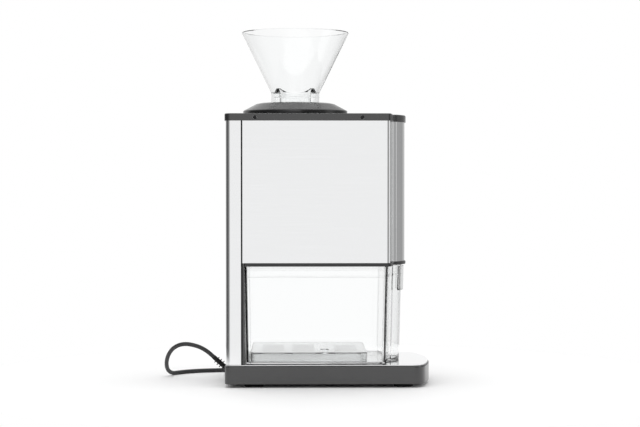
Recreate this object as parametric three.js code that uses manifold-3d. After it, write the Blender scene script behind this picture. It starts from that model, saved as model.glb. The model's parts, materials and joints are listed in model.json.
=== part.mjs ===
// A countertop ice crusher: a clear funnel over a toothed rotor in a stainless housing,
// a clear drawer under it, and a geared motor beside the crushing chamber.
// Millimetres, +Z up, the front faces -Y, and the origin is on the surface it stands on.
import * as THREE from "three";
import { mergeVertices } from "three/addons/utils/BufferGeometryUtils.js";
import Module from "manifold-3d";

const wasm = await Module();
wasm.setup();

// ---- Driving dimensions ----
const GAP = 0.3; // between pieces that touch
const SHEET = 1.0; // stainless sheet
const HALF_WIDTH = 87.5; // base and top cover
const HALF_LENGTH = 135.5; // base, and the rear edge of the top cover
const OVERHANG = 1.5; // how far the plastic edges stand proud of the sheet

const FOOT_TOP = 4.8;
const BASE_TOP = 29.7;
const FLOOR_LOW = 157.6; // underside of the housing
const FLOOR_TOP = 161.7;
const COVER_LOW = 346.8;
const COVER_TOP = 356.3;
const TOTAL_HEIGHT = 467.5;

const COLUMN_FRONT = 114; // seam between the rear column and the housing wrap
const PANEL_FRONT = 109.6; // dark panel at the back of the drawer bay
const SEAM = 1.5; // open seam between the wrap and the column, over the dark panel

const HOPPER_Y = 43.5; // vertical axis of the funnel and the crushing chamber
const ROTOR_Z = 285;
const ROTOR_RADIUS = 26;
const BLADE_PITCH = 15;
const BLADE_COUNT = 4;

// Gears: module, teeth, and the centre distances with a little backlash.
const FIRST_MODULE = 1.25;
const PINION_TEETH = 12;
const WHEEL_TEETH = 40;
const SECOND_MODULE = 1.75;
const IDLER_TEETH = 11;
const OUTPUT_TEETH = 36;
const BACKLASH = 0.3;
const FIRST_DISTANCE = (FIRST_MODULE * (PINION_TEETH + WHEEL_TEETH)) / 2 + BACKLASH;
const SECOND_DISTANCE = (SECOND_MODULE * (IDLER_TEETH + OUTPUT_TEETH)) / 2 + BACKLASH;
const IDLER_Z = ROTOR_Z - SECOND_DISTANCE;
const MOTOR_Z = IDLER_Z - FIRST_DISTANCE;

const SWITCH_Y = -52;
const SWITCH_Z = 300;
const ROCKER_TILT = (8 * Math.PI) / 180;

const CORD_RADIUS = 2.8;
const RELIEF_TILT = (42 * Math.PI) / 180;
const RELIEF_LENGTH = 24;
const CORD_EXIT_Z = 16;
const COIL_X = 144.8;
const COIL_Y = 53;

// ---- Materials ----
const material = (color, roughness, metalness = 0, opacity = 1) =>
  new THREE.MeshStandardMaterial({ color, roughness, metalness, opacity, transparent: opacity < 1 });
const steel = () => material(0xd2d3d4, 0.32, 1);
const darkSteel = () => material(0x8c8e90, 0.4, 1);
const charcoal = () => material(0x4c4c4e, 0.45);
const black = () => material(0x1c1c1e, 0.4);
const rubber = () => material(0x151515, 0.8);
const clear = () => material(0xeef2f2, 0.05, 0, 0.3);
const frosted = () => material(0xe6e8e8, 0.35, 0, 0.6);
const whitePlastic = () => material(0xe0ddd2, 0.5);
const brass = () => material(0xb98b3e, 0.35, 1);
const copper = () => material(0xa8592a, 0.4, 1);
const magnetGrey = () => material(0x3a3a3d, 0.7);
const boardGreen = () => material(0x1f5a34, 0.6);

// ---- Solids ----
function solid(geometry) {
  const bare = geometry.clone();
  bare.deleteAttribute("normal");
  bare.deleteAttribute("uv");
  const merged = mergeVertices(bare, 1e-3);
  const vertProperties = new Float32Array(merged.attributes.position.array);
  const triVerts = new Uint32Array(merged.index.array);
  return new wasm.Manifold(new wasm.Mesh({ numProp: 3, vertProperties, triVerts }));
}

function geometryOf(body) {
  const { vertProperties, triVerts } = body.getMesh();
  const indexed = new THREE.BufferGeometry();
  indexed.setAttribute("position", new THREE.BufferAttribute(vertProperties, 3));
  indexed.setIndex(new THREE.BufferAttribute(triVerts, 1));
  const flat = indexed.toNonIndexed();
  flat.computeVertexNormals();
  return flat;
}

const joined = (first, ...others) => others.reduce((sum, next) => sum.add(next), first);
const without = (first, ...others) => others.reduce((rest, next) => rest.subtract(next), first);

// ---- Shapes ----
function box(x0, x1, y0, y1, z0, z1) {
  const geometry = new THREE.BoxGeometry(x1 - x0, y1 - y0, z1 - z0);
  return solid(geometry.translate((x0 + x1) / 2, (y0 + y1) / 2, (z0 + z1) / 2));
}

// A plan outline raised from z0 to z1.
function raised(shape, z0, z1, curveSegments = 6) {
  const settings = { depth: z1 - z0, bevelEnabled: false, curveSegments };
  return new THREE.ExtrudeGeometry(shape, settings).translate(0, 0, z0);
}

// A ring or a pin turned about +Z from [radius, height] points.
function turned(profile, segments = 24) {
  const points = profile.map(([r, h]) => new THREE.Vector2(r, h));
  const onAxis = profile[0][0] === 0 && profile.at(-1)[0] === 0;
  if (!onAxis) points.push(points[0].clone());
  if (THREE.ShapeUtils.area(points) < 0) points.reverse();
  return new THREE.LatheGeometry(points, segments).rotateX(Math.PI / 2);
}

function tube(inner, outer, z0, z1, segments = 24) {
  const profile = [
    [inner, z0],
    [outer, z0],
    [outer, z1],
    [inner, z1],
  ];
  return turned(profile, segments);
}

function rod(radius, z0, z1, segments = 24) {
  const profile = [
    [0, z0],
    [radius, z0],
    [radius, z1],
    [0, z1],
  ];
  return turned(profile, segments);
}

// The same pieces with their axis along +Y, for everything on the drive's shafts.
const alongY = (geometry) => geometry.rotateX(-Math.PI / 2);
const rodY = (radius, y0, y1, segments) => alongY(rod(radius, y0, y1, segments));
const tubeY = (inner, outer, y0, y1, segments) => alongY(tube(inner, outer, y0, y1, segments));
const rodX = (radius, x0, x1, segments) => rod(radius, x0, x1, segments).rotateY(Math.PI / 2);

function hose(points, radius, steps, sides = 8) {
  const section = new THREE.Shape();
  for (let i = 0; i < sides; i++) {
    const angle = (2 * Math.PI * i) / sides;
    section[i ? "lineTo" : "moveTo"](radius * Math.cos(angle), radius * Math.sin(angle));
  }
  section.closePath();
  const path = new THREE.CatmullRomCurve3(points.map((p) => new THREE.Vector3(...p)), false, "centripetal");
  return new THREE.ExtrudeGeometry(section, { steps, extrudePath: path, bevelEnabled: false });
}

// The base's plan: round rear corners, and a front that bows out between soft corners.
function baseOutline(inset) {
  const halfWidth = HALF_WIDTH - inset;
  const rear = HALF_LENGTH - inset;
  const front = -HALF_LENGTH + inset;
  const radius = 8 - inset / 2;
  const bowHalf = 70 - inset;
  const bowDepth = 8.75;
  const shape = new THREE.Shape();
  shape.moveTo(halfWidth, front + 25);
  shape.lineTo(halfWidth, rear - radius);
  shape.absarc(halfWidth - radius, rear - radius, radius, 0, Math.PI / 2);
  shape.lineTo(-halfWidth + radius, rear);
  shape.absarc(-halfWidth + radius, rear - radius, radius, Math.PI / 2, Math.PI);
  shape.lineTo(-halfWidth, front + 25);
  shape.quadraticCurveTo(-halfWidth, front + bowDepth + 4.4, -bowHalf, front + bowDepth);
  shape.quadraticCurveTo(0, front - bowDepth, bowHalf, front + bowDepth);
  shape.quadraticCurveTo(halfWidth, front + bowDepth + 4.4, halfWidth, front + 25);
  return shape;
}

// The plan that the cover, the housing and the drawer share: straight sides, a short wing
// at each side of the front, and a bowed bulge between the wings.
function steppedOutline(inset, rear = HALF_LENGTH - inset, rearRadius = 8 - inset) {
  const side = HALF_WIDTH - inset;
  const shape = new THREE.Shape();
  shape.moveTo(side, -76 + inset);
  shape.lineTo(side, rear - rearRadius);
  shape.absarc(side - rearRadius, rear - rearRadius, rearRadius, 0, Math.PI / 2);
  shape.lineTo(-side + rearRadius, rear);
  shape.absarc(-side + rearRadius, rear - rearRadius, rearRadius, Math.PI / 2, Math.PI);
  shape.lineTo(-side, -76 + inset);
  shape.quadraticCurveTo(-side, -80.8 + inset, -side + 4, -81.3 + inset);
  shape.lineTo(-42.5 + inset, -87.1 + inset);
  shape.lineTo(-40 + inset, -91.8 + inset);
  shape.quadraticCurveTo(0, -117.6 + inset, 40 - inset, -91.8 + inset);
  shape.lineTo(42.5 - inset, -87.1 + inset);
  shape.lineTo(side - 4, -81.3 + inset);
  shape.quadraticCurveTo(side, -80.8 + inset, side, -76 + inset);
  return shape;
}

function roundedRectangle(x0, x1, y0, y1, radius, rearRadius = radius) {
  const shape = new THREE.Shape();
  shape.moveTo(x1, y0 + radius);
  shape.lineTo(x1, y1 - rearRadius);
  shape.absarc(x1 - rearRadius, y1 - rearRadius, rearRadius, 0, Math.PI / 2);
  shape.lineTo(x0 + rearRadius, y1);
  shape.absarc(x0 + rearRadius, y1 - rearRadius, rearRadius, Math.PI / 2, Math.PI);
  shape.lineTo(x0, y0 + radius);
  shape.absarc(x0 + radius, y0 + radius, radius, Math.PI, 1.5 * Math.PI);
  shape.lineTo(x1 - radius, y0);
  shape.absarc(x1 - radius, y0 + radius, radius, 1.5 * Math.PI, 2 * Math.PI);
  return shape;
}

// A gear about +Z with straight flanks. A tooth is centred on the angle given.
function gearShape(module, teeth, boreRadius, toothAngle) {
  const pitchRadius = (module * teeth) / 2;
  const tip = pitchRadius + 0.85 * module;
  const root = pitchRadius - 1.2 * module;
  const step = (2 * Math.PI) / teeth;
  const tipHalf = 0.11 * step;
  const rootHalf = 0.3 * step;
  const shape = new THREE.Shape();
  for (let i = 0; i < teeth; i++) {
    const middle = toothAngle + i * step;
    const corners = [
      [root, middle - rootHalf],
      [tip, middle - tipHalf],
      [tip, middle + tipHalf],
      [root, middle + rootHalf],
    ];
    for (const [radius, angle] of corners) {
      const x = radius * Math.cos(angle);
      const y = radius * Math.sin(angle);
      shape[shape.curves.length || shape.currentPoint.lengthSq() ? "lineTo" : "moveTo"](x, y);
    }
  }
  shape.closePath();
  shape.holes.push(new THREE.Path().absarc(0, 0, boreRadius, 0, 2 * Math.PI, true));
  return shape;
}

// ---- The scene graph ----
const crusher = new THREE.Group();

function group(x = 0, y = 0, z = 0, parent = crusher) {
  const made = new THREE.Group();
  made.position.set(x, y, z);
  parent.add(made);
  return made;
}

function add(parent, name, shape, finish) {
  const geometry = shape.isBufferGeometry ? shape : geometryOf(shape);
  const mesh = new THREE.Mesh(geometry, finish);
  mesh.name = name;
  parent.add(mesh);
  return mesh;
}

// ---- Base ----
const LEAD_Y = 122; // where the lead climbs from the base into the column

function makeBase() {
  const base = group();
  const leadHole = solid(rod(5, 20, 40, 12).translate(0, LEAD_Y, 0));
  const wall = 3;
  const tubTop = BASE_TOP - SHEET - GAP;
  const tub = without(
    solid(raised(baseOutline(0), FOOT_TOP, tubTop)),
    solid(raised(baseOutline(wall), FOOT_TOP - 1, tubTop - wall)),
    leadHole,
    solid(rodY(3.6, HALF_LENGTH - 5, HALF_LENGTH + 5, 12).translate(0, 0, CORD_EXIT_Z)),
  );
  add(base, "base_tub", tub, charcoal());
  const plate = without(solid(raised(baseOutline(OVERHANG), BASE_TOP - SHEET, BASE_TOP)), leadHole);
  add(base, "base_top_plate", plate, steel());
  const underside = raised(baseOutline(wall + GAP), FOOT_TOP + GAP, FOOT_TOP + GAP + 2);
  add(base, "bottom_cover", underside, black());
  const footProfile = [
    [0, 0],
    [12, 0],
    [12.5, 0.8],
    [12.2, 1.8],
    [9.6, 4.2],
    [9.5, FOOT_TOP],
    [0, FOOT_TOP],
  ];
  for (const [end, y] of [["front", -98], ["rear", 98]]) {
    for (const [side, x] of [["left", -64], ["right", 64]]) {
      const foot = add(base, `foot_${end}_${side}`, turned(footProfile, 16), rubber());
      foot.position.set(x, y, 0);
    }
  }
}

// ---- Rear column ----
function makeColumn() {
  const column = group();
  const low = BASE_TOP + GAP;
  const high = COVER_TOP - 3.3;
  const half = HALF_WIDTH - OVERHANG;
  const rear = HALF_LENGTH - OVERHANG;
  const outer = solid(raised(roundedRectangle(-half, half, 60, rear, 6.5), low, high));
  const inner = roundedRectangle(-half + SHEET, half - SHEET, 50, rear - SHEET, 6.5 - SHEET);
  const shell = without(outer, solid(raised(inner, low - 1, high + 1)), box(-99, 99, 0, COLUMN_FRONT, 0, 400));
  add(column, "rear_column", shell, steel());
  const panelHalf = half - SHEET - GAP;
  const step = PANEL_FRONT + 2.6; // the panel's edge is rebated behind its face
  const panel = joined(
    box(-panelHalf, panelHalf, PANEL_FRONT, step, low, COVER_LOW),
    box(-panelHalf + 2.2, panelHalf - 2.2, step - 1, COLUMN_FRONT - GAP, low, COVER_LOW),
  );
  add(column, "back_panel", panel, charcoal());
}

// ---- Upper housing ----
const SCREW_Z = 350.8;
const SCREW_PLACES = { rear: 96, front: -43.4 };
const CHAMBER_HALF_Y = 32; // discharge opening, half its length
const CHAMBER_HALF_X = 36;
const COLLAR_BORE = 33.2;

function screwHoles(radius) {
  const across = (y) => solid(rodX(radius, -95, 95, 10).translate(0, y, SCREW_Z));
  return Object.values(SCREW_PLACES).map(across);
}

function makeHousing() {
  const housing = group();
  const wrapTop = COVER_TOP - 3.3;
  const switchHole = box(80, 90, SWITCH_Y - 9.3, SWITCH_Y + 9.3, SWITCH_Z - 13.3, SWITCH_Z + 13.3);
  const wrap = without(
    solid(raised(steppedOutline(OVERHANG), FLOOR_TOP + GAP, wrapTop, 6)),
    solid(raised(steppedOutline(OVERHANG + SHEET), FLOOR_TOP, wrapTop + 1, 6)),
    box(-99, 99, COLUMN_FRONT - SEAM, 150, 0, 400),
    switchHole,
    ...screwHoles(1.7),
  );
  add(housing, "housing_wrap", wrap, steel());
  const discharge = box(
    -CHAMBER_HALF_X,
    CHAMBER_HALF_X,
    HOPPER_Y - CHAMBER_HALF_Y,
    HOPPER_Y + CHAMBER_HALF_Y,
    FLOOR_LOW - 1,
    FLOOR_TOP + 1,
  );
  const floor = without(
    solid(raised(steppedOutline(0), FLOOR_LOW, FLOOR_TOP, 6)),
    box(-99, 99, PANEL_FRONT - GAP, 150, 0, 400),
    discharge,
  );
  add(housing, "housing_floor", floor, black());
  const skirt = OVERHANG - GAP;
  const cover = without(
    solid(raised(steppedOutline(0), COVER_LOW, COVER_TOP, 6)),
    solid(raised(steppedOutline(skirt), COVER_LOW - 1, COVER_TOP - 3, 6)),
    solid(rod(COLLAR_BORE, COVER_LOW, COVER_TOP + 1, 28).translate(0, HOPPER_Y, 0)),
    ...screwHoles(2.9),
  );
  add(housing, "top_cover", cover, charcoal());
  addCoverScrews(housing);
}

// Each screw's head sits in the cover's skirt, against the sheet.
function addCoverScrews(housing) {
  const profile = [
    [0, 0],
    [2.5, 0],
    [2.5, 1.1],
    [1.2, 1.1],
    [1.2, 7],
    [0, 7],
  ];
  for (const [end, y] of Object.entries(SCREW_PLACES)) {
    for (const [side, sign] of [["left", -1], ["right", 1]]) {
      const screw = add(housing, `cover_screw_${end}_${side}`, turned(profile, 12), darkSteel());
      screw.position.set(sign * (HALF_WIDTH - 0.1), y, SCREW_Z);
      screw.rotation.y = (-sign * Math.PI) / 2;
    }
  }
}

// ---- Collar and funnel ----
const NECK_RADIUS = 32.2;
const NECK_LOW = 338;
const CONE_LOW = 387.4;
const RIM_RADIUS = 71.6;
const FUNNEL_WALL = 2.3;

function makeCollar() {
  const collar = group(0, HOPPER_Y, 0);
  const low = COVER_TOP + GAP;
  const profile = [
    [COLLAR_BORE, low],
    [COLLAR_BORE, 371.6],
    [35, 372.8],
    [46, 372.8],
    [52.5, 371.5],
    [69.4, 362.6],
    [70, 361.6],
    [70, low],
    [67, low],
    [67, 360.8],
    [51.2, 369],
    [36.2, 369.6],
    [36.2, low],
  ];
  add(collar, "hopper_collar", turned(profile, 32), charcoal());
}

function makeFunnel() {
  const funnel = group(0, HOPPER_Y, 0);
  const inner = NECK_RADIUS - FUNNEL_WALL;
  const profile = [
    [inner, NECK_LOW],
    [NECK_RADIUS, NECK_LOW],
    [NECK_RADIUS, CONE_LOW - 1],
    [NECK_RADIUS + 0.7, CONE_LOW],
    [RIM_RADIUS, TOTAL_HEIGHT - 1.2],
    [RIM_RADIUS - 0.5, TOTAL_HEIGHT],
    [RIM_RADIUS - 1.9, TOTAL_HEIGHT],
    [RIM_RADIUS - 2.5, TOTAL_HEIGHT - 1.2],
    [inner + 0.5, CONE_LOW + 1],
    [inner, CONE_LOW],
  ];
  add(funnel, "hopper", turned(profile, 36), clear());
  add(funnel, "throat_guard", throatGuard(), clear());
}

// A square chute in the neck, held by a web that fills out to the round wall. The web's top
// rises to a peak at each corner of the chute and dips between them.
function throatGuard() {
  const low = NECK_LOW + 8;
  const bend = 386;
  const high = 392.3;
  const wall = 1.8;
  const webLow = 380.5;
  const webRadius = NECK_RADIUS - FUNNEL_WALL - 0.5;
  const webProfile = [
    [10, webLow],
    [webRadius, webLow],
    [webRadius, CONE_LOW - 0.2],
    [webRadius + 2.2, high],
    [10, high],
  ];
  const web = solid(turned(webProfile, 36));
  const square = (halfLow, halfHigh, z0, z1) => {
    const geometry = new THREE.CylinderGeometry(halfHigh * Math.SQRT2, halfLow * Math.SQRT2, z1 - z0, 4);
    return solid(geometry.rotateX(Math.PI / 2).rotateZ(Math.PI / 4).translate(0, 0, (z0 + z1) / 2));
  };
  const outside = joined(square(19.4, 20.4, low, bend), square(20.4, 22.2, bend, high), web);
  const inside = joined(
    square(19.4 - wall, 20.4 - wall, low - 1, bend),
    square(20.4 - wall, 22.4 - wall, bend, high + 1),
  );
  const dipRadius = 31.7;
  const dip = (geometry) => solid(geometry.translate(0, 0, 385.2 + dipRadius));
  const dipX = dip(rodX(dipRadius, -60, 60, 32));
  const dipY = dip(rodY(dipRadius, -60, 60, 32));
  return without(outside, inside, dipX, dipY);
}

// ---- Drawer ----
const BIN_LOW = BASE_TOP + GAP;
const BIN_HIGH = 156.5;
const BIN_REAR = 109;
const BIN_WALL = 2.2;
const BIN_FLOOR = 1.8;
const BIN_INSET = 5.5;

// The drawer's walls lean out towards its rim, as a moulded drawer's do.
function drafted(geometry) {
  const position = geometry.attributes.position;
  for (let i = 0; i < position.count; i++) {
    const drop = (BIN_HIGH - position.getZ(i)) / (BIN_HIGH - BIN_LOW);
    position.setX(i, position.getX(i) * (1 - 0.049 * drop));
    position.setY(i, position.getY(i) * (1 - 0.0258 * drop) + 0.71 * drop);
  }
  return geometry;
}

function makeDrawer() {
  const drawer = group();
  const body = (inset, z0, z1) => {
    const outline = steppedOutline(BIN_INSET + inset, BIN_REAR - inset, 3 - 0.9 * inset);
    return solid(drafted(raised(outline, z0, z1, 5)));
  };
  const grip = body(-3, 123, 155.6).intersect(box(-24, 24, -150, -82, 100, 200));
  const bin = without(
    joined(body(0, BIN_LOW, BIN_HIGH), body(-0.5, 143.2, 145), grip),
    body(BIN_WALL, BIN_LOW + BIN_FLOOR, BIN_HIGH + 1),
  );
  add(drawer, "bin", bin, clear());
  makeDrainer(drawer);
}

// The drainer is a slotted deck on a skirt. It keeps the crushed ice out of the melt water,
// and it lifts out by its finger hole.
function makeDrainer(drawer) {
  const low = BIN_LOW + BIN_FLOOR + GAP;
  const high = 45;
  const wall = 1.8;
  const body = (inset, z0, z1) => {
    const outline = roundedRectangle(-74 + inset, 74 - inset, -50.4 + inset, 102.2 - inset, 12 - inset, 6 - inset);
    return solid(raised(outline, z0, z1, 5));
  };
  const fingerHole = solid(raised(roundedRectangle(-60, -20, -0.6, 10.4, 5.4), low, high + 1, 5));
  let tray = without(body(0, low, high), body(wall, low - 1, high - wall), fingerHole);
  for (const y of [-38, 18, 58]) {
    for (let column = 0; column < 8; column++) {
      const x = -52.5 + column * 15;
      tray = tray.subtract(box(x - 1.2, x + 1.2, y, y + 30, low, high + 1));
    }
  }
  add(drawer, "drainer_tray", tray, frosted());
}

// ---- Crushing chamber ----
const CHAMBER_TOP = 343;
const BEARING_RADIUS = 11;
const SHAFT_RADIUS = 5;
const ROTOR_HALF = 30; // half the length of the crushing space

function makeChamber() {
  const chamber = group(0, HOPPER_Y, 0);
  const low = FLOOR_TOP + GAP;
  const bearingHole = solid(rodY(BEARING_RADIUS + GAP, -50, 50, 24).translate(0, 0, ROTOR_Z));
  const shell = without(
    joined(box(-42, 42, -38, 38, low, 259), box(-36, 36, -36, 36, 251, CHAMBER_TOP)),
    box(-38, 38, -34, 34, low - 1, 255),
    box(-30, 30, -30, 30, 250, NECK_LOW - GAP),
    solid(rod(NECK_RADIUS + 0.8, NECK_LOW - GAP, CHAMBER_TOP + 1, 28)),
    bearingHole,
  );
  add(chamber, "crushing_chamber", shell, whitePlastic());
  add(chamber, "fixed_comb", fixedComb(), darkSteel());
  const bearing = tubeY(SHAFT_RADIUS + GAP, BEARING_RADIUS, -2.8, 2.8, 20);
  add(chamber, "rotor_bearing_front", bearing, steel()).position.set(0, -33, ROTOR_Z);
  add(chamber, "rotor_bearing_rear", bearing.clone(), steel()).position.set(0, 33, ROTOR_Z);
}

// Fingers between the rotor's blades, on a bar along the chamber's wall.
function fixedComb() {
  const bar = box(27.2, ROTOR_HALF - GAP, -29.5, 29.5, ROTOR_Z - 7, ROTOR_Z + 7);
  const fingers = [];
  for (let i = 1; i < BLADE_COUNT; i++) {
    const y = (i - BLADE_COUNT / 2) * BLADE_PITCH;
    fingers.push(box(10, 28, y - 1.5, y + 1.5, ROTOR_Z - 5, ROTOR_Z + 5));
  }
  return joined(bar, ...fingers);
}

// A blade with four hooked teeth, square to the shaft.
function bladeShape() {
  const shape = new THREE.Shape();
  const teeth = 4;
  const point = (radius, angle, first) => {
    const x = radius * Math.cos(angle);
    const y = radius * Math.sin(angle);
    shape[first ? "moveTo" : "lineTo"](x, y);
  };
  for (let i = 0; i < teeth; i++) {
    const start = (2 * Math.PI * i) / teeth;
    point(13, start, i === 0);
    point(ROTOR_RADIUS, start + 0.12, false);
    point(ROTOR_RADIUS - 1.5, start + 0.34, false);
    point(17, start + 0.8, false);
    point(13.5, start + 1.2, false);
  }
  shape.closePath();
  shape.holes.push(new THREE.Path().absarc(0, 0, SHAFT_RADIUS + GAP, 0, 2 * Math.PI, true));
  return shape;
}

function makeRotor() {
  const rotor = group(0, HOPPER_Y, ROTOR_Z);
  const thickness = 3;
  add(rotor, "rotor_shaft", rodY(SHAFT_RADIUS, -49.5, 38, 24), steel());
  for (let i = 0; i < BLADE_COUNT; i++) {
    const y = (i - (BLADE_COUNT - 1) / 2) * BLADE_PITCH;
    const blade = alongY(raised(bladeShape(), -thickness / 2, thickness / 2, 8));
    const mesh = add(rotor, `rotor_blade_${i + 1}`, blade, darkSteel());
    mesh.position.y = y;
    mesh.rotation.y = (i * Math.PI) / 8;
    if (i < BLADE_COUNT - 1) {
      const half = (BLADE_PITCH - thickness) / 2 - GAP;
      const spacer = add(rotor, `rotor_spacer_${i + 1}`, tubeY(SHAFT_RADIUS + GAP, 8.5, -half, half, 16), steel());
      spacer.position.y = y + BLADE_PITCH / 2;
    }
  }
}

// ---- Gear train ----
// The three shafts lie one above the other. A gear is drawn flat and then stood up along Y,
// which turns the drawing's -Y upwards.
const STAGE_ONE = [-10, -5];
const STAGE_TWO = [-4, 3];
const UP = -Math.PI / 2;

function gear(module, teeth, bore, toothAngle, [y0, y1]) {
  return alongY(raised(gearShape(module, teeth, bore, toothAngle), y0, y1, 8));
}

function makeGears() {
  const gears = group();
  const half = (teeth) => Math.PI / teeth;
  const output = gear(SECOND_MODULE, OUTPUT_TEETH, SHAFT_RADIUS + GAP, -UP, STAGE_TWO);
  add(gears, "output_gear", output, brass()).position.z = ROTOR_Z;
  const wheel = gear(FIRST_MODULE, WHEEL_TEETH, 3.3, -UP, STAGE_ONE);
  const pinionSpan = [STAGE_ONE[1] - 1, STAGE_TWO[1]];
  const small = gear(SECOND_MODULE, IDLER_TEETH, 3.3, UP + half(IDLER_TEETH), pinionSpan);
  add(gears, "idler_gear", joined(solid(wheel), solid(small)), whitePlastic()).position.z = IDLER_Z;
  const pinion = gear(FIRST_MODULE, PINION_TEETH, 3.3, UP + half(PINION_TEETH), STAGE_ONE);
  add(gears, "motor_pinion", pinion, brass()).position.z = MOTOR_Z;
  add(gears, "idler_pin", rodY(3, -13.4, 5, 16), steel()).position.z = IDLER_Z;
  add(gears, "gearbox_plate", gearboxPlate(), steel());
}

// Sheet plate with four posts that stand against the chamber's front.
function gearboxPlate() {
  const post = (x, z, end) => solid(rodY(4, -12, end, 12).translate(x, 0, z));
  const plate = box(-40, 40, -13.5, -11.5, 172, 328);
  const posts = [post(-33, 181, 5.2), post(33, 181, 5.2), post(-31, 320, 7.2), post(31, 320, 7.2)];
  const motorHole = solid(rodY(9.2, -20, 0, 20).translate(0, 0, MOTOR_Z));
  const pinHole = solid(rodY(3.3, -20, -8, 16).translate(0, 0, IDLER_Z));
  return without(joined(plate, ...posts), motorHole, pinHole);
}

// ---- Motor ----
const CAN_RADIUS = 32;
const MOTOR_SHAFT = 3;

function makeMotor() {
  const motor = group(0, 0, MOTOR_Z);
  const canProfile = [
    [CAN_RADIUS, -80],
    [CAN_RADIUS, -13.8],
    [6, -13.8],
    [6, -16.3],
    [29.5, -16.3],
    [29.5, -80],
  ];
  add(motor, "motor_can", alongY(turned(canProfile, 28)), darkSteel());
  const capProfile = [
    [CAN_RADIUS, -80.3],
    [CAN_RADIUS, -85],
    [14, -88],
    [MOTOR_SHAFT + GAP, -88],
    [MOTOR_SHAFT + GAP, -84],
    [12, -84],
    [12, -80.3],
  ];
  add(motor, "motor_end_cap", alongY(turned(capProfile, 24)), black());
  for (const [side, start] of [["left", 115], ["right", -65]]) {
    add(motor, `magnet_${side}`, alongY(raised(arcShape(24.6, 29.2, start, 130), -70, -25, 7)), magnetGrey());
  }
  add(motor, "armature_core", alongY(raised(armatureShape(), -68, -27, 10)), copper());
  add(motor, "armature_shaft", rodY(MOTOR_SHAFT, -97, -4.6, 16), steel());
  add(motor, "commutator", tubeY(MOTOR_SHAFT + GAP, 10, -78, -71, 20), copper());
  add(motor, "cooling_fan", coolingFan(), black());
}

function arcShape(inner, outer, startDegrees, spanDegrees) {
  const start = (startDegrees * Math.PI) / 180;
  const end = start + (spanDegrees * Math.PI) / 180;
  const shape = new THREE.Shape();
  shape.absarc(0, 0, outer, start, end, false);
  shape.absarc(0, 0, inner, end, start, true);
  shape.closePath();
  return shape;
}

// Laminations with eight slots for the windings.
function armatureShape() {
  const slots = 8;
  const step = (2 * Math.PI) / slots;
  const shape = new THREE.Shape();
  for (let i = 0; i < slots; i++) {
    const middle = i * step;
    const corners = [
      [16, middle - 0.5 * step],
      [16, middle - 0.42 * step],
      [23.8, middle - 0.4 * step],
      [23.8, middle],
      [23.8, middle + 0.4 * step],
      [16, middle + 0.42 * step],
    ];
    for (const [j, [radius, angle]] of corners.entries()) {
      const first = i === 0 && j === 0;
      shape[first ? "moveTo" : "lineTo"](radius * Math.cos(angle), radius * Math.sin(angle));
    }
  }
  shape.closePath();
  shape.holes.push(new THREE.Path().absarc(0, 0, MOTOR_SHAFT + GAP, 0, 2 * Math.PI, true));
  return shape;
}

function coolingFan() {
  const blades = 7;
  let fan = solid(tubeY(MOTOR_SHAFT + GAP, 7, -95.5, -90, 20));
  for (let i = 0; i < blades; i++) {
    const blade = new THREE.BoxGeometry(18.5, 1.2, 6.6);
    blade.rotateX(0.7).translate(15, -92.8, 0).rotateY((2 * Math.PI * i) / blades);
    fan = fan.add(solid(blade));
  }
  return fan;
}

// ---- Electrics ----
function makeElectrics() {
  const electrics = group();
  const sideFace = HALF_WIDTH - OVERHANG;
  const place = (halfY, halfZ, x0, x1) =>
    box(x0, x1, SWITCH_Y - halfY, SWITCH_Y + halfY, SWITCH_Z - halfZ, SWITCH_Z + halfZ);
  const bezel = without(
    joined(place(11, 15, sideFace + GAP, sideFace + 1.4), place(9, 13, 66, sideFace + 0.5)),
    place(7, 11, 78, 95),
  );
  add(electrics, "switch_bezel", bezel, black());
  const rocker = add(electrics, "switch_rocker", rockerBody(), black());
  rocker.position.set(82.4, SWITCH_Y, SWITCH_Z);
  rocker.rotation.y = ROCKER_TILT;
  const board = joined(
    box(-74, -48, -40, 12, 165, 166.6),
    box(-70, -58, -34, -18, 166, 180),
    box(-66, -54, -8, 6, 166, 172),
  );
  add(electrics, "rectifier_board", board, boardGreen());
  const block = without(
    box(-16, 16, 117, 128, 246, 262),
    solid(rod(1.6, 255, 263, 8).translate(-8, 122, 0)),
    solid(rod(1.6, 255, 263, 8).translate(8, 122, 0)),
  );
  add(electrics, "terminal_block", block, whitePlastic());
  const lead = [
    [0, HALF_LENGTH - 1, CORD_EXIT_Z],
    [0, 129, CORD_EXIT_Z],
    [0, 124, 18.6],
    [0, LEAD_Y, 25],
    [0, LEAD_Y, 60],
    [0, LEAD_Y, 150],
    [0, LEAD_Y, 246 - GAP],
  ];
  add(electrics, "internal_lead", hose(lead, CORD_RADIUS, 18), black());
}

// A rocker that pivots about Y. Its face is hollowed a little between its two ends.
function rockerBody() {
  const outline = new THREE.Shape();
  outline.moveTo(-3, -5);
  outline.lineTo(3.4, -10.3);
  outline.quadraticCurveTo(2.2, 0, 3.4, 10.3);
  outline.lineTo(-3, 5);
  outline.closePath();
  const settings = { depth: 13.2, bevelEnabled: false, curveSegments: 8 };
  return new THREE.ExtrudeGeometry(outline, settings).translate(0, 0, -6.6).rotateX(Math.PI / 2);
}

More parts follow.
